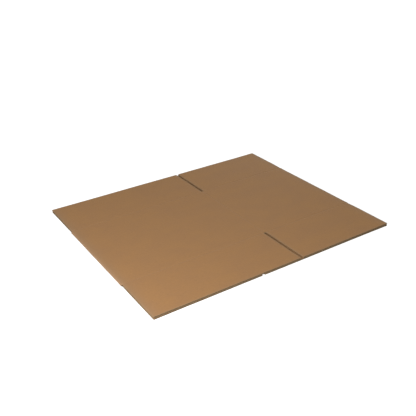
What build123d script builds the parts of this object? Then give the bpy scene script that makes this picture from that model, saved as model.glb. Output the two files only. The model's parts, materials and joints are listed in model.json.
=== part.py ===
"""A flattened shipping box of corrugated cardboard, as it comes folded flat before it is made up.

One sheet of single-wall board goes once round the box: a length panel, a width panel, another
length panel, another width panel and a glue tab. Folded flat at two upright creases, it lies in
two layers. The upper layer has its length panel on the left and its width panel on the right,
and the lower layer has them the other way round, so the slots between the flaps of the two
layers are not above each other. The flutes run from the front edge to the back edge.

X runs across the panels, Y along the flutes and Z up. The origin is the middle of the underside.
All sizes are in millimetres.
"""

import math
import os

from build123d import *

# Inside size of the box when it is made up
INSIDE_LENGTH = 350.0
INSIDE_WIDTH = 250.0
INSIDE_HEIGHT = 250.0

# Single-wall board: two liners and a fluted paper between them
BOARD = 2.9
LINER = 0.3
FLUTE_PAPER = 0.25
FLUTE_PITCH = 6.5

# Slots between the flaps, and creases pressed into both faces of the board
SLOT_WIDTH = 6.0
CREASE_WIDTH = 5.0
CREASE_DEPTH = 0.5

# Each flat fold comes down in two gentle shoulders to a tight nose
FOLD_SHOULDER = 20.0
FOLD_NOSE = 2.0

# A flap that turns has a gap along its crease, and its hinge line lies a little above the board,
# so that the flap folds right back on its panel
HINGE_GAP = 0.4
HINGE_RISE = 0.2

# Glue tab, crushed flat, which joins the two panels of the lower layer from the inside
TAB_WIDTH = 35.0
TAB_THICKNESS = 0.9
TAB_CLEARANCE = 0.2
TAB_ROOT = 4.0
TAB_SETBACK = 4.0
TAB_TAPER = 10.0
SEAM_GAP = 2.0

# Panels measured from crease to crease, with what the board's thickness takes up at the corners
LENGTH_PANEL = INSIDE_LENGTH + BOARD
WIDTH_PANEL = INSIDE_WIDTH + BOARD
HEIGHT_PANEL = INSIDE_HEIGHT + 2 * BOARD
FLAP = WIDTH_PANEL / 2

# The flat pack
PACK_WIDTH = LENGTH_PANEL + WIDTH_PANEL
LAYER_GAP = TAB_THICKNESS + TAB_CLEARANCE
PACK_THICKNESS = 2 * BOARD + LAYER_GAP
UPPER_Z = BOARD + LAYER_GAP
SHOULDER_DROP = FOLD_SHOULDER - PACK_THICKNESS / 2
FOLD_REACH = FOLD_NOSE + math.sqrt((FOLD_SHOULDER - FOLD_NOSE) ** 2 - SHOULDER_DROP**2)
FOLD_X = PACK_WIDTH / 2
FOLD_CENTRE_X = FOLD_X - FOLD_REACH
CREASE_Y = HEIGHT_PANEL / 2
FLAP_EDGE_X = FOLD_X - SLOT_WIDTH / 2
UPPER_CORNER_X = LENGTH_PANEL - FOLD_X
LOWER_CORNER_X = WIDTH_PANEL - FOLD_X
GROOVE_RADIUS = (CREASE_WIDTH**2 / 4 + CREASE_DEPTH**2) / (2 * CREASE_DEPTH)


def rectangle(low, high):
    """A rectangle between two corners of the sketch plane."""
    return Pos((low[0] + high[0]) / 2, (low[1] + high[1]) / 2) * Rectangle(high[0] - low[0], high[1] - low[1])


def along_x(section, low_x, high_x):
    """A section drawn in Y and Z, drawn out from one X to another."""
    return extrude(Plane.YZ.offset(low_x) * section, high_x - low_x, dir=(1, 0, 0))


def along_y(section, low_y, high_y):
    """A section drawn in X and Z, drawn out from one Y to another."""
    return extrude(Plane.XZ.offset(-low_y) * section, high_y - low_y, dir=(0, 1, 0))


def wave(low_x, high_x, base_z):
    """The fluted paper in section: as many whole flutes as the width holds, centred on it."""
    count = int((high_x - low_x) // FLUTE_PITCH)
    start_x = (low_x + high_x - count * FLUTE_PITCH) / 2
    slope = math.atan2(BOARD - 2 * LINER, FLUTE_PITCH / 2)
    half_height = FLUTE_PAPER / math.cos(slope) / 2
    trough_z = base_z + LINER / 2 + half_height
    crest_z = base_z + BOARD - LINER / 2 - half_height
    turns = [
        (start_x + turn * FLUTE_PITCH / 2, crest_z if turn % 2 else trough_z)
        for turn in range(2 * count + 1)
    ]
    lower = [(x, z - half_height) for x, z in turns]
    upper = [(x, z + half_height) for x, z in reversed(turns)]
    return Polygon(*lower, *upper, align=None)


def fluted_section(low_x, high_x, base_z):
    """The board's cut end: two liners with the fluted paper between them."""
    lower_liner = rectangle((low_x, base_z), (high_x, base_z + LINER))
    upper_liner = rectangle((low_x, base_z + BOARD - LINER), (high_x, base_z + BOARD))
    return lower_liner + upper_liner + wave(low_x, high_x, base_z)


def grooves(centre, base_z):
    """The two circles that press a crease into the board, in section."""
    reach = GROOVE_RADIUS - CREASE_DEPTH
    above = Pos(centre, base_z + BOARD + reach) * Circle(GROOVE_RADIUS)
    below = Pos(centre, base_z - reach) * Circle(GROOVE_RADIUS)
    return above + below


def back_flap(low_x, high_x, base_z, gap):
    """A flap at the back: fluted board, and its half of the crease, from half a gap off the crease line."""
    board_y = CREASE_Y + CREASE_WIDTH / 2
    board = along_y(fluted_section(low_x, high_x, base_z), board_y, CREASE_Y + FLAP)
    crease = rectangle((CREASE_Y + gap / 2, base_z), (board_y, base_z + BOARD))
    crease -= grooves(CREASE_Y, base_z)
    return board + along_x(crease, low_x, high_x)


def panels(base_z, gap):
    """The panels of one layer between its two rows of flaps, with their half of each crease."""
    end_y = CREASE_Y - gap / 2
    section = rectangle((-end_y, base_z), (end_y, base_z + BOARD))
    section -= grooves(CREASE_Y, base_z) + grooves(-CREASE_Y, base_z)
    return along_x(section, -FOLD_CENTRE_X, FOLD_CENTRE_X)


def corner_crease(centre_x, base_z):
    """What the crease between the two panels of the upper layer takes out of it."""
    return along_y(grooves(centre_x, base_z), -CREASE_Y, CREASE_Y)


def lens(radius):
    """What two circles share, with their centres above and below the middle of a fold."""
    return Pos(0, SHOULDER_DROP) * Circle(radius) & Pos(0, -SHOULDER_DROP) * Circle(radius)


def right_fold():
    """The half turn of the board that joins the two layers at the right side of the pack."""
    outer = lens(FOLD_SHOULDER)
    outer = fillet(outer.vertices(), FOLD_NOSE)
    ring = outer - lens(FOLD_SHOULDER - BOARD)
    half = ring & rectangle((0, -PACK_THICKNESS), (FOLD_REACH + BOARD, PACK_THICKNESS))
    end_y = CREASE_Y - HINGE_GAP / 2
    return along_y(Pos(FOLD_CENTRE_X, PACK_THICKNESS / 2) * half, -end_y, end_y)


def glue_tab():
    """The crushed tab of the length panel, glued on the inside of the width panel's edge."""
    root_x = LOWER_CORNER_X + TAB_ROOT
    edge_x = LOWER_CORNER_X - TAB_WIDTH
    root_y = CREASE_Y - TAB_SETBACK
    edge_y = root_y - TAB_TAPER
    outline = Polygon(
        (root_x, -root_y),
        (LOWER_CORNER_X, -root_y),
        (edge_x, -edge_y),
        (edge_x, edge_y),
        (LOWER_CORNER_X, root_y),
        (root_x, root_y),
        align=None,
    )
    return extrude(Pos(0, 0, BOARD) * outline, TAB_THICKNESS)


def seam():
    """The gap between the two panel edges that the tab joins, open to the underside."""
    section = rectangle((LOWER_CORNER_X - SEAM_GAP / 2, 0), (LOWER_CORNER_X + SEAM_GAP / 2, BOARD))
    return along_y(section, -CREASE_Y, CREASE_Y)


def flap_spans(corner_x):
    """The X places between which the two flaps beside one slot lie, from left to right."""
    slot_low = corner_x - SLOT_WIDTH / 2
    slot_high = corner_x + SLOT_WIDTH / 2
    return (-FLAP_EDGE_X, slot_low), (slot_high, FLAP_EDGE_X)


def box_body():
    """The four panels with both folds, the glue tab and the four flaps of the lower layer."""
    lower = panels(0, 0) - seam()
    upper = panels(UPPER_Z, HINGE_GAP) - corner_crease(UPPER_CORNER_X, UPPER_Z)
    fold = right_fold()
    back_flaps = [back_flap(*span, 0, 0) for span in flap_spans(LOWER_CORNER_X)]
    front_flaps = [mirror(flap, about=Plane.XZ) for flap in back_flaps]
    return lower + upper + [fold, mirror(fold, about=Plane.YZ), glue_tab(), *back_flaps, *front_flaps]


def upper_flaps():
    """The four flaps of the upper layer, by name. Each turns up about its crease."""
    made = {}
    for name, span in zip(("long_flap", "short_flap"), flap_spans(UPPER_CORNER_X)):
        flap = back_flap(*span, UPPER_Z, HINGE_GAP)
        made[f"back_{name}"] = flap
        made[f"front_{name}"] = mirror(flap, about=Plane.XZ)
    return made


def main():
    os.makedirs("parts", exist_ok=True)
    for name, shape in {"box_body": box_body(), **upper_flaps()}.items():
        export_step(shape, f"parts/{name}.step")
    hinge_z = PACK_THICKNESS + HINGE_RISE
    print(f"The upper flaps turn about lines along X at Y = +-{CREASE_Y:.2f} and Z = {hinge_z:.2f}")


main()
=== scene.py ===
"""A flattened cardboard box: the looks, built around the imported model.

The board is made from what real board is made of. Where it is cut, at the ends of the flaps, along
the slots and at the ends of the folds, it is two liners with a waved paper between them. Where
nothing can be seen into, it is one solid sheet.

Lengths are in millimetres, apart from those of the studio, which are in metres. "Along" is measured
round the folded sheet, across its flutes, and "depth" from the outer face of the pack inwards. "Up"
is 1 in the upper layer and -1 in the lower one, and "side" is 1 at the back and -1 at the front.
"""

import json
import math
from collections import namedtuple
from functools import cache

import bpy
import numpy as np
from mathutils import Matrix, Vector


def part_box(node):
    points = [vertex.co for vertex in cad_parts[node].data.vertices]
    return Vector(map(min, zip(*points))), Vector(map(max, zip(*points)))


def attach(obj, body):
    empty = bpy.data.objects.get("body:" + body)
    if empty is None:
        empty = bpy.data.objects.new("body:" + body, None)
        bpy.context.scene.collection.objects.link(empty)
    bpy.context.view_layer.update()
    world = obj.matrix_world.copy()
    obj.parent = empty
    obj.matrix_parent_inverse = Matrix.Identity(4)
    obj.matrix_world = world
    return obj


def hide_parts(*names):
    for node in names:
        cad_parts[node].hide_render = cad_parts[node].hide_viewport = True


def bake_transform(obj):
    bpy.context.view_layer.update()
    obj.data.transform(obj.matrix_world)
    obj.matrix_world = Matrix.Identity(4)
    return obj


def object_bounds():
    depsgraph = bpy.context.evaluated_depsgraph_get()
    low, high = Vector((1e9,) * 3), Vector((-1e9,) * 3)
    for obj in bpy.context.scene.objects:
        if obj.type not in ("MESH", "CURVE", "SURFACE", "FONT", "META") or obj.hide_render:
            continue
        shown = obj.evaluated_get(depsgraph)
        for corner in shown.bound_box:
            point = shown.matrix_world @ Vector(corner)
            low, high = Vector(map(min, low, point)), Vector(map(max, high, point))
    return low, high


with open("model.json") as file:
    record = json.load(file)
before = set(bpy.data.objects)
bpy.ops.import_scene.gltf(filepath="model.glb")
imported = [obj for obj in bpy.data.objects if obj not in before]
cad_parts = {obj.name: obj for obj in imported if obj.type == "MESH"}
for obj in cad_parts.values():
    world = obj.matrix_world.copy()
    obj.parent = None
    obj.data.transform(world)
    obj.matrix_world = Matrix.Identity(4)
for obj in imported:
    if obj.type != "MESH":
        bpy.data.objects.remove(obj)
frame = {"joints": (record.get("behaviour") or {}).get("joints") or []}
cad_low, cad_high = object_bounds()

MM = 0.001

# Sizes read from the frame
LONG_LOW, LONG_HIGH = (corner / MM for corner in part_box("back_long_flap"))
SHORT_LOW, SHORT_HIGH = (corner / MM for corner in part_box("back_short_flap"))
THICKNESS = (cad_high.z - cad_low.z) / MM
BOARD = THICKNESS - LONG_LOW.z
CREASE_Y = max(joint["pos_m"][1] for joint in frame["joints"]) / MM
EDGE_Y = cad_high.y / MM
FLAP = EDGE_Y - CREASE_Y
FLAP_EDGE_X = SHORT_HIGH.x
CORNER_X = (LONG_HIGH.x + SHORT_LOW.x) / 2
SLOT = SHORT_LOW.x - LONG_HIGH.x
FOLD_X = cad_high.x / MM

# How far the turn of a fold reaches out from the flat board
FOLD_REACH = 9.08
FOLD_CENTRE_X = FOLD_X - FOLD_REACH

# The papers of the board, and how far the crests of the waved one are tucked into the liners
LINER = 0.3
FLUTE_PAPER = 0.25
FLUTE_PITCH = 6.5
FLUTE_TUCK = 0.04

# How full the wave is, and how one flute differs from the next: its place, in radians, and its height
FLUTE_FULLNESS = 0.16
FLUTE_SHIFT = 0.22
FLUTE_SHIFT_LENGTH = 30.0
FLUTE_SAG = 0.03
FLUTE_SAG_LENGTH = 14.0

# Faint ribs that the flutes leave in the liners
RIB = 0.04

# Creases pressed into both faces, and how they weaken where they cross the nose of a fold
CREASE_REACH = 2.5
CREASE_OUTER = 0.35
CREASE_INNER = 0.65
NOSE_FROM = 0.75
NOSE_LOSS = 0.5

# Edges pinched by the knife at the cut ends, and more along the cut sides of the flaps, where the
# pinch sets in just before the crease's line
PINCH = 0.2
PINCH_REACH = 1.1
PINCH_SWING = 0.25
PINCH_LENGTH = 17.0
SIDE_PINCH = 0.4
SIDE_PINCH_REACH = 0.8
SIDE_PINCH_INNER = 0.5
SIDE_PINCH_FROM = -0.5

# How far a ragged free end is cut short, and how close to the end that is felt
RAGGED = 0.07
RAGGED_SWING = 0.06
RAGGED_LENGTH = 3.5
RAGGED_MOST = 0.2
RAGGED_REACH = 0.6

# Wrinkles on the outside of the folds, wide ones and fine ones, and how far from a fold's end they
# are at their full depth
WRINKLE = 0.1
WRINKLE_LENGTH = 22.0
WRINKLE_STRETCH = 3
FINE_WRINKLE = 0.05
FINE_WRINKLE_LENGTH = 6.0
WRINKLE_MOST = 0.4
WRINKLE_FREE = 12.0

# How far the layers bow towards each other, and how much more at the free ends of the flaps
BOW = 0.22
BOW_SWING = 0.5
BOW_LENGTH = 260.0
DROOP = 0.3
DROOP_SWING = 0.25
DROOP_LENGTH = 150.0

# How far before a fold the bow begins to die out, and where it is gone
BOW_HELD_FROM = 60
BOW_HELD_FULL = 2

# How much paler and greyer the paper is in the creases, where it is scuffed, along the cut edges and near
# the folds
# Along the cut edges this is scuffing with a painted highlight, and near the folds stretched paper with a
# painted sheen
CREASE_WEAR = 0.2
EDGE_SCUFF_AND_HIGHLIGHT = 0.8
EDGE_SCUFF_AND_HIGHLIGHT_REACH = 1.8
FOLD_SCUFF_AND_SHEEN = 0.9
FOLD_SCUFF_AND_SHEEN_REACH = 9.0

# How deep the open flutes are modelled at a cut end, at a cut side and at the end of a fold
OPEN_END = 26.0
OPEN_SIDE = 9.75
OPEN_FOLD = 10.0

# How far the bend reaches to each side of a crease, where a flap's piece starts on the panel's side
# of it, and how far beyond it a flap has come up level beside a fold
BEND = 1.6
FLAP_START = 4.0
FOLD_SETTLE = 28.0

# How far before its turn a fold's own stretch of the sheet starts
FOLD_LEAD = 4.5

# The glue tab, and the seam of the lower layer that it closes
SEAM_X = -CORNER_X
SEAM_GAP = 2.0
TAB_WIDTH = 35.0
TAB_ROOT = 4.0
TAB_THICKNESS = 0.9
TAB_SETBACK = 4.0
TAB_TAPER = 10.0
TAB_RIB = 0.05
TAB_BOW = 0.5

# The oval that the middle of the board follows round a fold, and its run up to each turn
OVAL_TURNS = np.linspace(0, math.pi, 181)
OVAL_X = (FOLD_REACH - BOARD / 2) * np.sin(OVAL_TURNS)
OVAL_Z = (THICKNESS - BOARD) / 2 * np.cos(OVAL_TURNS)
OVAL_RUNS = np.concatenate([[0], np.cumsum(np.hypot(np.diff(OVAL_X), np.diff(OVAL_Z)))])

# The share of the oval's reach up to which the side of a flap follows it down
OVAL_MOST = 0.999

# The folded sheet's run: lower right, right fold, upper, left fold, lower left
FOLD_RUN = OVAL_RUNS[-1]
RUN_START_X = SEAM_X + SEAM_GAP / 2
RIGHT_FOLD_RUN = FOLD_CENTRE_X - RUN_START_X
UPPER_RUN = RIGHT_FOLD_RUN + FOLD_RUN
LEFT_FOLD_RUN = UPPER_RUN + 2 * FOLD_CENTRE_X
LOWER_LEFT_RUN = LEFT_FOLD_RUN + FOLD_RUN
RUN_END = LOWER_LEFT_RUN + SEAM_X - SEAM_GAP / 2 + FOLD_CENTRE_X

# A flute's crest touches the outer liner at the right side of the upper layer's slots
CREST_RUN = UPPER_RUN + FOLD_CENTRE_X - SHORT_LOW.x

# Steps along the sheet to a flute, and columns of points in a crease and round a fold
LINER_STEPS = 4
FLUTE_STEPS = 12
CREASE_COLUMNS = 13
FOLD_COLUMNS = 25

# Rows of points across the sheet
PANEL_ROWS = 13
FOLD_ROWS = 61
OPEN_FOLD_ROWS = 5
STUB_ROWS = 11
TAB_ROWS = 13

# Places of the rows across a flap: from its crease outwards, and from its free end inwards
ROWS_BEFORE_BEND = (-FLAP_START, -3.2, -2.6)
ROWS_IN_BEND = np.linspace(-2.2, 2.2, 19)
ROWS_AFTER_BEND = (2.6, 3.4, 6.0)
BOARD_ROWS_FROM = 14.0
BOARD_ROW_GAP = 9.0
ROWS_FROM_END = (OPEN_END, 12.0, 6.0, 3.0, 1.5, 0.8, 0.4, 0.0)

# Digits kept in a place along the sheet and in how far a fold has turned
PLACE_DIGITS = 5
TURN_DIGITS = 6

# Edges that turn more sharply than this, in degrees, aren't shaded smooth
SHARP_ANGLE = 38

# The wandering noise: how many waves it adds up, and how far they turn over its length, in radians
WANDER_WAVES = 7
WANDER_TURN = 3.0

# Seeds of the wandering noise. A layer adds or takes away 1, and a flap adds up to 2.
FLUTE_SHIFT_SEED = 3
FLUTE_SAG_SEED = 5
BOW_SEED = 11
DROOP_SEED = 21
FOLD_END_SEED = 41
SEAM_SEED = 43
WRINKLE_SEED = 45
FINE_WRINKLE_SEED = 47
FIRST_FLAP_SEED = 100
FLAP_SEED_STEP = 10

# Colours of the papers, in the 0 to 255 steps of a picture
KRAFT_WARM = (171, 128, 84)
KRAFT_GREY = (168, 126, 85)
# Paler, greyer paper: scuffing in the creases, scuffing with a painted highlight at the cut edges, and a
# painted sheen by the folds
KRAFT_SCUFF_AND_SHEEN = (158, 133, 110)
DARK_FLECK = (112, 80, 50)
PALE_FLECK = (206, 170, 128)
CUT_DARK = (140, 121, 91)
CUT_PALE = (170, 151, 120)
FLUTING_DARK = (116, 98, 71)
FLUTING_PALE = (142, 122, 92)

# Specks are narrower across the sheet than along it, and solid in their inner part
FLECK_SQUEEZE = 1.6
FLECK_CORE = 0.4

# The floor, which glows white for the camera, a little less near the box, where its shadow lies
WHITE = (1.0, 1.0, 1.0, 1.0)
FLOOR_SIZE = 24.0
FLOOR_DROP = 0.0001
FLOOR_COLOUR = (0.6, 0.6, 0.6, 1.0)
FLOOR_GLOW_NEAR = 0.79
FLOOR_GLOW_FROM = 0.42
FLOOR_GLOW_FULL = 0.8

# The light that comes from all round
AMBIENT = 0.33
AMBIENT_COLOUR = (0.95, 1.0, 0.99, 1.0)

Lamp = namedtuple("Lamp", "name place size watts colour")

# The key stands at the front left, and the fill low at the back right
LAMPS = (
    Lamp("key", place=(-0.98, -0.72, 0.62), size=0.35, watts=14.0, colour=(1.0, 0.96, 0.92)),
    Lamp("fill", place=(1.2, 1.3, 0.3), size=0.5, watts=8.0, colour=(1.0, 1.0, 1.0)),
)

# The camera, fitted to the corners and edges of the flat box in the photograph: its place in metres,
# its turns in degrees, and its lens and sensor in millimetres
CAMERA_PLACE = (-0.69739, -1.07340, 0.69745)
CAMERA_YAW = -32.397
CAMERA_DOWN = 27.572
CAMERA_ROLL = -1.520
CAMERA_LENS = 53.976
CAMERA_SENSOR = 36.0

# How close to the camera, in metres, a thing may be seen
CAMERA_NEAR = 0.02

# A piece's materials in order: the faces of the liners, the cut edges and the waved paper
LINER_SLOT, CUT_SLOT, FLUTE_SLOT = range(3)

# Sockets of the mix node when it mixes colours
MIX_SHARE, MIX_FIRST, MIX_SECOND, MIX_RESULT = 0, 6, 7, 2

# Points, their places on the sheet before it is folded, their scuffing and painted sheen, faces and
# material slots
Shell = namedtuple("Shell", "points places wear faces slots")


# Noise and fades

def wander(seed, length, *places):
    """Smooth noise of about -1 to 1 that changes over a length: a few waves in seeded directions."""
    draw = np.random.default_rng(seed)
    height = 0.0
    for _ in range(WANDER_WAVES):
        directions = draw.normal(size=len(places))
        phase = draw.uniform(0, 2 * math.pi)
        run = sum(direction * place for direction, place in zip(directions, places))
        height = height + np.sin(run * WANDER_TURN / length + phase)
    return height / math.sqrt(WANDER_WAVES)


def uneven(swing, seed, length, *places):
    """A factor that wanders between about 1 and 1 less twice the swing."""
    return 1 - swing + swing * wander(seed, length, *places)


def fade(value, low, high):
    """0 below low, 1 above high, and smooth between them."""
    share = np.clip((value - low) / (high - low), 0, 1)
    return share * share * (3 - 2 * share)


def pressed(distance):
    """How much of a crease's depth is reached at a distance from its line."""
    return np.cos(np.clip(np.abs(distance) / CREASE_REACH, 0, 1) * math.pi / 2) ** 2


# The board in section

def phase_at(along):
    """The phase of the flutes: a quarter turn where they touch the outer liner."""
    return math.pi / 2 + 2 * math.pi * (along - CREST_RUN) / FLUTE_PITCH


def outer_face(along):
    """Depth of the outer face, which sinks a little between the flutes that carry it."""
    return RIB * (0.5 - 0.5 * np.sin(phase_at(along)))


def inner_face(along):
    """Depth of the inner face, which does the same."""
    return BOARD - RIB * (0.5 + 0.5 * np.sin(phase_at(along)))


def under_outer_liner(along):
    """Depth of the outer liner's hidden side."""
    return outer_face(along) + LINER


def over_inner_liner(along):
    """Depth of the inner liner's hidden side."""
    return inner_face(along) - LINER


def flute_middle(along):
    """Depth of the middle of the waved paper. Each flute is a little unlike the next."""
    phase = phase_at(along) + FLUTE_SHIFT * wander(FLUTE_SHIFT_SEED, FLUTE_SHIFT_LENGTH, along)
    swing = np.sin(phase) * (1 + FLUTE_FULLNESS - FLUTE_FULLNESS * np.sin(phase) ** 2)
    height = BOARD / 2 - LINER - FLUTE_PAPER / 2 + FLUTE_TUCK
    sag = FLUTE_SAG * (1 + wander(FLUTE_SAG_SEED, FLUTE_SAG_LENGTH, along))
    return BOARD / 2 - height * swing * (1 - sag)


def flute_half(along):
    """Half the waved paper's thickness, measured through the board."""
    step = 0.05
    slope = (flute_middle(along + step) - flute_middle(along - step)) / (2 * step)
    return FLUTE_PAPER / 2 * np.sqrt(1 + slope**2)


def flute_outer(along):
    """Depth of the waved paper's face towards the outer liner."""
    return flute_middle(along) - flute_half(along)


def flute_inner(along):
    """Depth of the waved paper's face towards the inner liner."""
    return flute_middle(along) + flute_half(along)


def press_in(depth, outer, inner):
    """Moves a depth as the two faces are pressed towards each other."""
    share = depth / BOARD
    return depth + outer * (1 - share) - inner * share


def edge_pinch(distance, seed, *places, size=PINCH, reach=PINCH_REACH):
    """How far the knife has pinched a face in, at a distance from a cut."""
    pinch = size * np.exp(-np.clip(distance, 0, None) / reach)
    return pinch * uneven(PINCH_SWING, seed, PINCH_LENGTH, *places)


def fold_scuff_and_sheen(x):
    """How pale the paper is painted near a fold: stretched paper, with a painted sheen."""
    return FOLD_SCUFF_AND_SHEEN * np.exp(-(FOLD_X - np.abs(x)) / FOLD_SCUFF_AND_SHEEN_REACH)


# The layers of the pack

def along_at(x, up):
    """The place along the sheet of an X in the upper layer or the lower one."""
    if up > 0:
        return UPPER_RUN + FOLD_CENTRE_X - x
    return x - RUN_START_X if x > SEAM_X else LOWER_LEFT_RUN + FOLD_CENTRE_X + x


def bow(x, y, up):
    """How far a layer bows from its outer plane towards the other layer."""
    free = 1 - fade(np.abs(x), FOLD_CENTRE_X - BOW_HELD_FROM, FOLD_CENTRE_X - BOW_HELD_FULL)
    middle = BOW * uneven(BOW_SWING, BOW_SEED + up, BOW_LENGTH, x, y)
    droop = DROOP * fade(np.abs(y), CREASE_Y, EDGE_Y)
    droop = droop * uneven(DROOP_SWING, DROOP_SEED + up, DROOP_LENGTH, x)
    return free * (np.clip(middle, 0, BOW) + droop)


def layer_z(depth, x, y, up):
    """Height of a depth in one layer."""
    return THICKNESS / 2 + up * (THICKNESS / 2 - depth - bow(x, y, up))


# Shells of paper and the pieces that they make

def shell(place, along, across, low, high, face_slot):
    """A closed shell between two depths, over a grid of places along the sheet and across it."""
    runs, rows = np.meshgrid(along, across)
    depths = [depth(runs) for depth in (low, high)]
    sides = [place(runs, rows, depth) for depth in depths]
    points = np.concatenate([side[0].reshape(-1, 3) for side in sides])
    wear = np.concatenate([side[1].reshape(-1) for side in sides])
    places = np.concatenate([np.stack([runs, rows, depth], -1).reshape(-1, 3) for depth in depths])
    faces, slots = shell_faces(len(across), len(along), face_slot)
    if inside_out(points, faces):
        faces = faces[:, ::-1]
    return Shell(points, places, wear, faces, slots)


def shell_faces(rows, columns, face_slot):
    """Quads of a closed shell between two grids of points, with their material slots."""
    number = np.arange(rows * columns).reshape(rows, columns)
    other = number + rows * columns
    first = quads(number[:-1, :-1], number[:-1, 1:], number[1:, 1:], number[1:, :-1])
    second = quads(other[:-1, :-1], other[1:, :-1], other[1:, 1:], other[:-1, 1:])
    rim = np.concatenate([number[0, :-1], number[:-1, -1], number[-1, :0:-1], number[:0:-1, 0]])
    far = rim + rows * columns
    walls = quads(np.roll(rim, -1), rim, far, np.roll(far, -1))
    faces = np.concatenate([first, second, walls])
    slots = np.full(len(faces), face_slot)
    slots[len(first) + len(second):] = CUT_SLOT
    return faces, slots


def quads(*corners):
    """Faces from four equal arrays of point numbers."""
    return np.stack([corner.ravel() for corner in corners], -1)


def inside_out(points, faces):
    """Whether the shell's faces point inwards, from the sign of its volume."""
    a, b, c, d = (points[faces[:, i]] for i in range(4))
    middle = (a + b + c + d) / 4
    return (np.cross(c - a, d - b) * (middle - points.mean(0))).sum() < 0


def steps(low, high, steps_per_flute, extra=()):
    """Places along the sheet from low to high, the same in every flute, with extra ones between."""
    step = FLUTE_PITCH / steps_per_flute
    margin = step / 4
    inner = np.arange(math.ceil(low / step), math.floor(high / step) + 1) * step
    inner = np.concatenate([inner, extra])
    inner = inner[(inner > low + margin) & (inner < high - margin)]
    return np.unique(np.round(np.concatenate([[low], inner, [high]]), PLACE_DIGITS))


def sheet(place, low, high, across, extra=()):
    """Board that nothing can be seen into, as one solid sheet."""
    return [shell(place, steps(low, high, LINER_STEPS, extra), across, outer_face, inner_face, LINER_SLOT)]


def papers(place, low, high, across, extra=()):
    """Board that can be seen into: two liners and the waved paper between them."""
    coarse = steps(low, high, LINER_STEPS, extra)
    fine = steps(low, high, FLUTE_STEPS, extra)
    return [
        shell(place, coarse, across, outer_face, under_outer_liner, LINER_SLOT),
        shell(place, coarse, across, over_inner_liner, inner_face, LINER_SLOT),
        shell(place, fine, across, flute_outer, flute_inner, FLUTE_SLOT),
    ]


def make_piece(name, shells):
    """One mesh object from shells, with the sheet's own places and its scuffing and painted sheen for the
    materials.
    """
    points = np.concatenate([part.points for part in shells])
    starts = np.cumsum([0] + [len(part.points) for part in shells[:-1]])
    faces = np.concatenate([part.faces + start for part, start in zip(shells, starts)])
    mesh = bpy.data.meshes.new(name)
    mesh.from_pydata((points * MM).tolist(), [], faces.tolist())
    mesh.polygons.foreach_set("material_index", np.concatenate([part.slots for part in shells]))
    for material in (kraft_liner(), cut_edge(), fluting()):
        mesh.materials.append(material)
    places = mesh.attributes.new("sheet_place", "FLOAT_VECTOR", "POINT")
    places.data.foreach_set("vector", np.concatenate([part.places for part in shells]).ravel())
    # The share of paler paper: scuffing, with a painted highlight at the cut edges and a painted sheen by
    # the folds
    scuff_and_sheen_share = mesh.attributes.new("sheet_scuff_and_sheen", "FLOAT", "POINT")
    scuff_and_sheen_share.data.foreach_set("value", np.concatenate([part.wear for part in shells]))
    mesh.shade_smooth()
    mesh.set_sharp_from_angle(angle=math.radians(SHARP_ANGLE))
    mesh.validate()
    piece = bpy.data.objects.new(name, mesh)
    bpy.context.scene.collection.objects.link(piece)
    return piece


# The flaps

def flap_place(low_x, high_x, side, up, seed):
    """The function that places a flap's points: across runs outwards from its crease."""
    middle_x = (low_x + high_x) / 2
    middle_along = along_at(middle_x, up)

    def place(along, beyond, depth):
        x = middle_x - up * (along - middle_along)
        side_gap = np.minimum(x - low_x, high_x - x)
        depth = flap_depth(depth, x, beyond, side_gap, seed)
        y = side * (CREASE_Y + beyond - ragged_cut(x, beyond, seed))
        unsettled = 1 - fade(beyond, 0, FOLD_SETTLE)
        z = layer_z(depth, x, y, up) - up * oval_drop(x, depth) * unsettled
        return np.stack([x, y, z], -1), flap_scuff_and_sheen(x, beyond, side_gap)

    return place


def flap_depth(depth, x, beyond, side_gap, seed):
    """A depth in a flap after the crease and the knife have pressed the board."""
    crease = pressed(beyond)
    end = edge_pinch(FLAP - beyond, seed, x)
    cut = edge_pinch(side_gap, seed + 1, beyond, size=SIDE_PINCH, reach=SIDE_PINCH_REACH)
    cut = cut * fade(beyond, SIDE_PINCH_FROM, CREASE_REACH)
    outer = CREASE_OUTER * crease + end + cut
    inner = CREASE_INNER * crease + end + SIDE_PINCH_INNER * cut
    return press_in(depth, outer, inner)


def ragged_cut(x, beyond, seed):
    """How far the free end is cut short of its line, here more and there less."""
    cut = np.clip(RAGGED + RAGGED_SWING * wander(seed + 2, RAGGED_LENGTH, x), 0, RAGGED_MOST)
    return cut * fade(beyond, FLAP - RAGGED_REACH, FLAP)


def oval_drop(x, depth):
    """How far a depth of the sheet comes down from its flat height where a fold has begun to turn."""
    share = np.clip((np.abs(x) - FOLD_CENTRE_X) / (FOLD_REACH - depth), 0, OVAL_MOST)
    return (THICKNESS / 2 - depth) * (1 - np.sqrt(1 - share**2))


def flap_scuff_and_sheen(x, beyond, side_gap):
    """How pale a flap is painted: scuffed in its crease, scuffed and with a painted highlight along its cut
    edges, and stretched with a painted sheen near a fold.
    """
    edge = EDGE_SCUFF_AND_HIGHLIGHT * np.exp(-np.minimum(side_gap, FLAP - beyond) / EDGE_SCUFF_AND_HIGHLIGHT_REACH) * (beyond > 0)
    return np.maximum(CREASE_WEAR * pressed(beyond) + edge, fold_scuff_and_sheen(x))


def flap_rows():
    """Rows across a flap: those of its crease and its board, and those of its open end."""
    end = FLAP - np.array(ROWS_FROM_END)
    middle = np.arange(BOARD_ROWS_FROM, FLAP - OPEN_END, BOARD_ROW_GAP)
    board = np.concatenate([ROWS_BEFORE_BEND, ROWS_IN_BEND, ROWS_AFTER_BEND, middle, end[:1]])
    return board, end


def flap_piece(name, low_x, high_x, side, up, seed):
    """A flap with its crease: open flutes at the free end and along both sides, solid between."""
    place = flap_place(low_x, high_x, side, up, seed)
    low, high = sorted(along_at(x, up) for x in (low_x, high_x))
    board_rows, end_rows = flap_rows()
    shells = sheet(place, low + OPEN_SIDE, high - OPEN_SIDE, board_rows)
    shells += papers(place, low, low + OPEN_SIDE, board_rows)
    shells += papers(place, high - OPEN_SIDE, high, board_rows)
    shells += papers(place, low, high, end_rows)
    return make_piece(name, shells)


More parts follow.
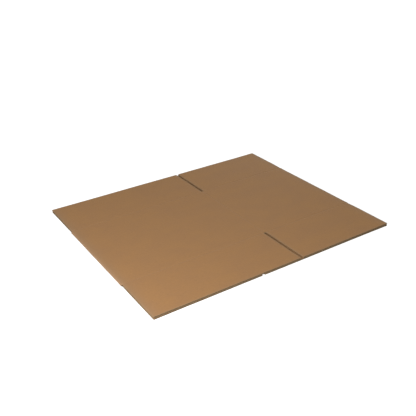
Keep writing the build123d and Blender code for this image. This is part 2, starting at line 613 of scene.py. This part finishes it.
def make_flaps():
    """The eight flaps: the upper ones take the place of the flap parts, and the lower ones lie still on the
    body.
    """
    spans = {"long": (LONG_LOW.x, LONG_HIGH.x), "short": (SHORT_LOW.x, SHORT_HIGH.x)}
    seed = FIRST_FLAP_SEED
    for end, side in (("front", -1), ("back", 1)):
        for length, (low_x, high_x) in spans.items():
            node = f"{end}_{length}_flap"
            upper = flap_piece(f"{node}_board", low_x, high_x, side, 1, seed)
            held = ("box_body", (0, side * (CREASE_Y - BEND) * MM, 0))
            turned = (node, (0, side * (CREASE_Y + BEND) * MM, 0))
            # The front flaps open the other way from the back ones, so their two bodies come in the other
            # order.
            (first, start), (second, stop) = (held, turned) if side > 0 else (turned, held)
            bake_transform(upper)
            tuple(start)
            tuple(stop)
            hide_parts(node)
            lower = flap_piece(f"lower_{node}_board", -high_x, -low_x, side, -1, seed + FLAP_SEED_STEP)
            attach(lower, "box_body")
            seed += 2 * FLAP_SEED_STEP


# The panels and the folds

def run_place(along, y, depth):
    """Places the points of the panels and folds, which follow the folded sheet's run."""
    right_turn = np.interp(along - RIGHT_FOLD_RUN, OVAL_RUNS, OVAL_TURNS)
    left_turn = np.interp(along - LEFT_FOLD_RUN, OVAL_RUNS, OVAL_TURNS)
    turning = np.where(along < LEFT_FOLD_RUN, np.sin(right_turn), -np.sin(left_turn))
    # 0 where the sheet lies flat, and 1 at the nose of a fold
    fold = np.round(np.abs(turning), TURN_DIGITS)
    flat_x = flat_x_at(along)
    crease = panel_crease(along, flat_x, y, fold)
    depth = panel_depth(depth, along, y, crease, fold)
    x = flat_x + (FOLD_REACH - depth) * turning
    past_right_nose = along > RIGHT_FOLD_RUN + FOLD_RUN / 2
    before_left_nose = along < LEFT_FOLD_RUN + FOLD_RUN / 2
    up = np.where(past_right_nose & before_left_nose, 1, -1)
    bowed = np.where(fold > 0, 0, np.where(up > 0, bow(flat_x, y, 1), bow(flat_x, y, -1)))
    z = THICKNESS / 2 - (THICKNESS / 2 - depth) * np.cos(right_turn + left_turn) - up * bowed
    # The second value is how pale the paper is painted: scuffed in the creases, with a painted sheen near
    # the folds
    return np.stack([x, y, z], -1), np.maximum(CREASE_WEAR * crease, fold_scuff_and_sheen(x))


def flat_x_at(along):
    """X of a place along the sheet, which stays where a fold's turn begins until the turn is done."""
    lower_right = np.clip(along, 0, RIGHT_FOLD_RUN)
    upper = np.clip(along - UPPER_RUN, 0, 2 * FOLD_CENTRE_X)
    lower_left = np.clip(along - LOWER_LEFT_RUN, 0, None)
    return RUN_START_X + lower_right - upper + lower_left


def panel_crease(along, flat_x, y, fold):
    """How far the creases are pressed in: those of the flaps, and the corner's in the upper layer."""
    upper = (along > UPPER_RUN) & (along < LEFT_FOLD_RUN)
    corner = np.where(upper, pressed(flat_x - CORNER_X), 0)
    cross = pressed(CREASE_Y - np.abs(y)) * (1 - NOSE_LOSS * fade(fold, NOSE_FROM, 1))
    return 1 - (1 - corner) * (1 - cross)


def panel_depth(depth, along, y, crease, fold):
    """A depth in the panels after the creases, the folds and the knife have pressed the board."""
    end = edge_pinch(CREASE_Y - np.abs(y), FOLD_END_SEED, along) * (fold > 0)
    seam = edge_pinch(np.minimum(along, RUN_END - along), SEAM_SEED, y)
    outer = CREASE_OUTER * crease + end + seam + fold_wrinkle(along, y, fold)
    inner = CREASE_INNER * crease + end + seam
    return press_in(depth, outer, inner)


def fold_wrinkle(along, y, fold):
    """How deep the outside of a fold is wrinkled. The wrinkles die out before the fold's ends."""
    wide = WRINKLE * (1 + wander(WRINKLE_SEED, WRINKLE_LENGTH, y, along * WRINKLE_STRETCH))
    fine = FINE_WRINKLE * (1 + wander(FINE_WRINKLE_SEED, FINE_WRINKLE_LENGTH, y))
    wrinkle = fold * (wide + fine) * fade(CREASE_Y - np.abs(y), FLAP_START, WRINKLE_FREE)
    return np.clip(wrinkle, 0, WRINKLE_MOST)


def fold_columns(start):
    """Close places round a fold."""
    return start + np.interp(np.linspace(0, math.pi, FOLD_COLUMNS), OVAL_TURNS, OVAL_RUNS)


def corner_columns():
    """Close places in the corner crease of the upper layer."""
    return along_at(CORNER_X, 1) + np.linspace(-CREASE_REACH, CREASE_REACH, CREASE_COLUMNS)


def panels_piece():
    """The four panels with both folds, and the stubs between the flaps at the ends of the slots."""
    flat_y = CREASE_Y - FLAP_START
    rows = np.linspace(-flat_y, flat_y, PANEL_ROWS)
    fold_rows = np.linspace(-(CREASE_Y - OPEN_FOLD), CREASE_Y - OPEN_FOLD, FOLD_ROWS)
    shells = sheet(run_place, 0, RIGHT_FOLD_RUN - FOLD_LEAD, rows)
    shells += sheet(run_place, UPPER_RUN + FOLD_LEAD, LEFT_FOLD_RUN - FOLD_LEAD, rows, corner_columns())
    shells += sheet(run_place, LOWER_LEFT_RUN + FOLD_LEAD, RUN_END, rows)
    for start in (RIGHT_FOLD_RUN, LEFT_FOLD_RUN):
        low, high = start - FOLD_LEAD, start + FOLD_RUN + FOLD_LEAD
        shells += sheet(run_place, low, high, fold_rows, fold_columns(start))
    for side in (-1, 1):
        open_rows = np.sort(side * np.linspace(CREASE_Y - OPEN_FOLD, flat_y, OPEN_FOLD_ROWS))
        stub_rows = np.sort(side * np.linspace(flat_y, CREASE_Y, STUB_ROWS))
        shells += fold_ends(open_rows, stub_rows) + slot_ends(stub_rows)
    return make_piece("panels_and_folds", shells)


def fold_ends(open_rows, stub_rows):
    """The open ends of both folds on one side. Beside the flaps only the nose goes on to the crease."""
    edge = np.interp(math.asin((FLAP_EDGE_X - FOLD_CENTRE_X) / FOLD_REACH), OVAL_TURNS, OVAL_RUNS)
    shells = []
    for start in (RIGHT_FOLD_RUN, LEFT_FOLD_RUN):
        end = start + FOLD_RUN
        shells += papers(run_place, start - FOLD_LEAD, end + FOLD_LEAD, open_rows, fold_columns(start))
        shells += papers(run_place, start + edge, end - edge, stub_rows, fold_columns(start))
    return shells


def slot_ends(stub_rows):
    """The stubs of panel at the slots' inner ends on one side: the upper layer's, and two at the seam."""
    corner = along_at(CORNER_X, 1)
    seam_stub = (SLOT - SEAM_GAP) / 2
    shells = sheet(run_place, corner - SLOT / 2, corner + SLOT / 2, stub_rows, corner_columns())
    shells += sheet(run_place, 0, seam_stub, stub_rows)
    shells += sheet(run_place, RUN_END - seam_stub, RUN_END, stub_rows)
    return shells


# The glue tab

def tab_place(along, share, top):
    """Places the tab's points: along is its X, share runs from its front to its back, and top is 0 or 1."""
    narrow = TAB_TAPER * np.clip((SEAM_X - along) / TAB_WIDTH, 0, 1)
    y = share * (CREASE_Y - TAB_SETBACK - narrow)
    rib = TAB_RIB * (0.5 + 0.5 * np.sin(phase_at(along)))
    z = BOARD + top * (TAB_THICKNESS - rib) - TAB_BOW * bow(along, y, -1)
    return np.stack([along, y, z], -1), np.zeros_like(along)


def tab_piece():
    """The crushed glue tab on the inside of the seam."""
    along = steps(SEAM_X - TAB_WIDTH, SEAM_X + TAB_ROOT, LINER_STEPS, (SEAM_X,))
    share = np.linspace(-1, 1, TAB_ROWS)
    return make_piece("glue_tab", [shell(tab_place, along, share, np.zeros_like, np.ones_like, LINER_SLOT)])


# Helpers for the materials

def emptied_tree(owner):
    """The node tree of a material or world, with nothing in it."""
    owner.use_nodes = True
    owner.node_tree.nodes.clear()
    return owner.node_tree


def send_out(tree, shader, kind="ShaderNodeOutputMaterial"):
    """Links a shader to the output of its tree."""
    output = tree.nodes.new(kind)
    tree.links.new(shader.outputs[0], output.inputs["Surface"])


def new_material(name):
    """A material with its node tree and its shader."""
    material = bpy.data.materials.new(name)
    tree = emptied_tree(material)
    shader = tree.nodes.new("ShaderNodeBsdfPrincipled")
    send_out(tree, shader)
    return material, tree, shader


def linear(colour):
    """A colour in the 0 to 255 steps of a picture, as the linear values that shaders take."""
    def one(step):
        share = step / 255
        return share / 12.92 if share <= 0.04045 else ((share + 0.055) / 1.055) ** 2.4
    return (*map(one, colour), 1.0)


def feed(tree, value, socket):
    """Gives a socket its value: a link where that is another node's socket, or else a fixed value."""
    if isinstance(value, bpy.types.NodeSocket):
        tree.links.new(value, socket)
    else:
        socket.default_value = value


def arithmetic(tree, operation, *values):
    """The result of a math node on values, each of them linked or fixed."""
    node = tree.nodes.new("ShaderNodeMath")
    node.operation = operation
    for value, socket in zip(values, node.inputs):
        feed(tree, value, socket)
    return node.outputs[0]


def total(tree, *terms):
    """The sum of values, each times its own weight."""
    result = 0.0
    for value, weight in terms:
        result = arithmetic(tree, "MULTIPLY_ADD", value, weight, result)
    return result


def ramp(tree, value, low, high, bottom=0.0, top=1.0):
    """A value spread from low to high onto bottom to top, held at both ends."""
    node = tree.nodes.new("ShaderNodeMapRange")
    for name, number in (("From Min", low), ("From Max", high), ("To Min", bottom), ("To Max", top)):
        node.inputs[name].default_value = number
    tree.links.new(value, node.inputs["Value"])
    return node.outputs["Result"]


def mixed(tree, share, first, second, blend="MIX"):
    """One colour laid over another by a share."""
    node = tree.nodes.new("ShaderNodeMix")
    node.data_type = "RGBA"
    node.blend_type = blend
    for value, number in ((share, MIX_SHARE), (first, MIX_FIRST), (second, MIX_SECOND)):
        feed(tree, value, node.inputs[number])
    return node.outputs[MIX_RESULT]


def sheet_vector(tree, scale):
    """The sheet's own places, scaled: features come out about 1 / scale millimetres long."""
    place = tree.nodes.new("ShaderNodeAttribute")
    place.attribute_name = "sheet_place"
    mapping = tree.nodes.new("ShaderNodeMapping")
    mapping.inputs["Scale"].default_value = scale
    tree.links.new(place.outputs["Vector"], mapping.inputs["Vector"])
    return mapping.outputs["Vector"]


def scuff_and_sheen_value(tree):
    """How pale the sheet is painted at a place: scuffing, with a painted highlight at the cut edges and a
    painted sheen by the folds.
    """
    node = tree.nodes.new("ShaderNodeAttribute")
    node.attribute_name = "sheet_scuff_and_sheen"
    return node.outputs["Fac"]


def noise(tree, scale, detail=2.0, rough=0.5, swirl=0.0):
    """Noise over the sheet, with its own scale along it, across it and through it."""
    node = tree.nodes.new("ShaderNodeTexNoise")
    node.inputs["Scale"].default_value = 1.0
    node.inputs["Detail"].default_value = detail
    node.inputs["Roughness"].default_value = rough
    node.inputs["Distortion"].default_value = swirl
    tree.links.new(sheet_vector(tree, scale), node.inputs["Vector"])
    return node.outputs["Fac"]


def flecks(tree, spacing, size, share):
    """Sparse specks: a share inside a speck, 0 outside."""
    node = tree.nodes.new("ShaderNodeTexVoronoi")
    node.inputs["Scale"].default_value = 1.0
    scale = (1 / spacing, FLECK_SQUEEZE / spacing, 1 / spacing)
    tree.links.new(sheet_vector(tree, scale), node.inputs["Vector"])
    inside = ramp(tree, node.outputs["Distance"], size / spacing, FLECK_CORE * size / spacing)
    return arithmetic(tree, "MULTIPLY", inside, share)


def bump(tree, shader, height, distance):
    """Fine relief of a height map, in millimetres."""
    node = tree.nodes.new("ShaderNodeBump")
    node.inputs["Distance"].default_value = distance * MM
    tree.links.new(height, node.inputs["Height"])
    tree.links.new(node.outputs["Normal"], shader.inputs["Normal"])


# The three papers, each made once and shared by all pieces

@cache
def kraft_liner():
    """Plain brown kraft paper: clouds, mottle, fibres that run across the flutes, grain and specks."""
    material, tree, shader = new_material("kraft_liner")
    clouds = noise(tree, scale=(0.02, 0.028, 0.02), detail=3.0)
    mottle = noise(tree, scale=(0.16, 0.3, 0.2), detail=3.0, rough=0.6)
    fibres = noise(tree, scale=(0.5, 2.4, 1.0), detail=5.0, rough=0.7, swirl=0.5)
    grain = noise(tree, scale=(2.5, 3.5, 3.0))
    light = total(tree, (mottle, 0.14), (fibres, 0.22), (grain, 0.06))
    shade = ramp(tree, light, low=0.13, high=0.29, bottom=0.87, top=1.13)
    # Paler, greyer paper where it is scuffed, which is also a painted highlight at the cut edges and a
    # painted sheen by the folds
    scuff_and_sheen_share = arithmetic(tree, "MULTIPLY", scuff_and_sheen_value(tree), 0.75)
    dark = flecks(tree, spacing=19.0, size=0.8, share=0.35)
    pale = flecks(tree, spacing=13.0, size=0.7, share=0.25)
    cloud = ramp(tree, clouds, low=0.35, high=0.65)
    colour = mixed(tree, cloud, linear(KRAFT_WARM), linear(KRAFT_GREY))
    colour = mixed(tree, 1.0, colour, shade, "MULTIPLY")
    colour = mixed(tree, dark, colour, linear(DARK_FLECK))
    colour = mixed(tree, pale, colour, linear(PALE_FLECK))
    colour = mixed(tree, scuff_and_sheen_share, colour, linear(KRAFT_SCUFF_AND_SHEEN))
    tree.links.new(colour, shader.inputs["Base Color"])
    roughness = ramp(tree, mottle, low=0.3, high=0.7, bottom=0.8, top=0.92)
    tree.links.new(roughness, shader.inputs["Roughness"])
    shader.inputs["Specular IOR Level"].default_value = 0.25
    bump(tree, shader, total(tree, (fibres, 0.6), (grain, 0.25), (mottle, 0.3)), distance=0.08)
    return material


@cache
def cut_edge():
    """The cut edge of a paper: pale, dry and rough."""
    material, tree, shader = new_material("cut_edge")
    fuzz = noise(tree, scale=(1.6, 1.6, 6.0), detail=4.0, rough=0.7)
    colour = mixed(tree, ramp(tree, fuzz, low=0.3, high=0.7), linear(CUT_DARK), linear(CUT_PALE))
    tree.links.new(colour, shader.inputs["Base Color"])
    shader.inputs["Roughness"].default_value = 0.95
    shader.inputs["Specular IOR Level"].default_value = 0.15
    bump(tree, shader, fuzz, distance=0.12)
    return material


@cache
def fluting():
    """The waved paper: a thinner, greyer one, with fine marks across it."""
    material, tree, shader = new_material("fluting")
    marks = noise(tree, scale=(1.2, 0.4, 1.2), detail=4.0, rough=0.6)
    mark = ramp(tree, marks, low=0.3, high=0.7)
    colour = mixed(tree, mark, linear(FLUTING_DARK), linear(FLUTING_PALE))
    tree.links.new(colour, shader.inputs["Base Color"])
    shader.inputs["Roughness"].default_value = 0.92
    shader.inputs["Specular IOR Level"].default_value = 0.2
    bump(tree, shader, marks, distance=0.06)
    return material


# The floor, the lights and the camera

def seen(tree):
    """1 for what the camera sees, straight, in a reflection or through glass, and 0 for other light."""
    path = tree.nodes.new("ShaderNodeLightPath")
    straight, reflected, through = (
        path.outputs[name] for name in ("Is Camera Ray", "Is Glossy Ray", "Is Transmission Ray")
    )
    return arithmetic(tree, "MAXIMUM", arithmetic(tree, "MAXIMUM", straight, reflected), through)


def floor_material():
    """Matt, with a glow that makes it white for the camera."""
    material = bpy.data.materials.new("floor_white")
    tree = emptied_tree(material)
    place = tree.nodes.new("ShaderNodeTexCoord")
    distance = tree.nodes.new("ShaderNodeVectorMath")
    distance.operation = "LENGTH"
    tree.links.new(place.outputs["Object"], distance.inputs[0])
    white = ramp(tree, distance.outputs["Value"], FLOOR_GLOW_FROM, FLOOR_GLOW_FULL, FLOOR_GLOW_NEAR, 1.0)
    glow = tree.nodes.new("ShaderNodeEmission")
    glow.inputs["Color"].default_value = WHITE
    tree.links.new(arithmetic(tree, "MULTIPLY", seen(tree), white), glow.inputs["Strength"])
    matt = tree.nodes.new("ShaderNodeBsdfDiffuse")
    matt.inputs["Color"].default_value = FLOOR_COLOUR
    both = tree.nodes.new("ShaderNodeAddShader")
    tree.links.new(matt.outputs[0], both.inputs[0])
    tree.links.new(glow.outputs[0], both.inputs[1])
    send_out(tree, both)
    return material


def make_floor():
    """A square floor just under the box."""
    half = FLOOR_SIZE / 2
    level = cad_low.z - FLOOR_DROP
    corners = [(-half, -half, level), (half, -half, level), (half, half, level), (-half, half, level)]
    mesh = bpy.data.meshes.new("floor")
    mesh.from_pydata(corners, [], [(0, 1, 2, 3)])
    mesh.materials.append(floor_material())
    floor = bpy.data.objects.new("floor", mesh)
    bpy.context.scene.collection.objects.link(floor)


def make_world():
    """White for the camera, and a plain soft light for everything else."""
    world = bpy.data.worlds.new("studio")
    bpy.context.scene.world = world
    tree = emptied_tree(world)
    light = tree.nodes.new("ShaderNodeBackground")
    light.inputs["Color"].default_value = AMBIENT_COLOUR
    light.inputs["Strength"].default_value = AMBIENT
    white = tree.nodes.new("ShaderNodeBackground")
    white.inputs["Color"].default_value = WHITE
    either = tree.nodes.new("ShaderNodeMixShader")
    tree.links.new(seen(tree), either.inputs[0])
    tree.links.new(light.outputs[0], either.inputs[1])
    tree.links.new(white.outputs[0], either.inputs[2])
    send_out(tree, either, "ShaderNodeOutputWorld")


def make_light(lamp):
    """A soft square light aimed at the middle of the box."""
    data = bpy.data.lights.new(lamp.name, "AREA")
    data.size = lamp.size
    data.energy = lamp.watts
    data.color = lamp.colour
    light = bpy.data.objects.new(lamp.name, data)
    light.location = lamp.place
    light.visible_camera = False
    light.rotation_mode = "QUATERNION"
    light.rotation_quaternion = (-Vector(lamp.place)).to_track_quat("-Z", "Y")
    bpy.context.scene.collection.objects.link(light)


def make_camera():
    """The photograph's camera."""
    data = bpy.data.cameras.new("camera")
    data.lens = CAMERA_LENS
    data.sensor_width = CAMERA_SENSOR
    data.clip_start = CAMERA_NEAR
    camera = bpy.data.objects.new("camera", data)
    turn = Matrix.Rotation(math.radians(CAMERA_YAW), 4, "Z")
    turn = turn @ Matrix.Rotation(math.radians(90 - CAMERA_DOWN), 4, "X")
    turn = turn @ Matrix.Rotation(math.radians(CAMERA_ROLL), 4, "Z")
    camera.matrix_world = Matrix.Translation(CAMERA_PLACE) @ turn
    bpy.context.scene.collection.objects.link(camera)
    bpy.context.scene.camera = camera


def make_studio():
    """Floor, world, lights and camera."""
    bpy.context.scene.view_settings.view_transform = "Standard"
    make_floor()
    make_world()
    for lamp in LAMPS:
        make_light(lamp)
    make_camera()


def main():
    """Builds the pieces and the studio round them."""
    panels = panels_piece()
    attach(panels, "box_body")
    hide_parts("box_body")
    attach(tab_piece(), "box_body")
    make_flaps()
    make_studio()


main()
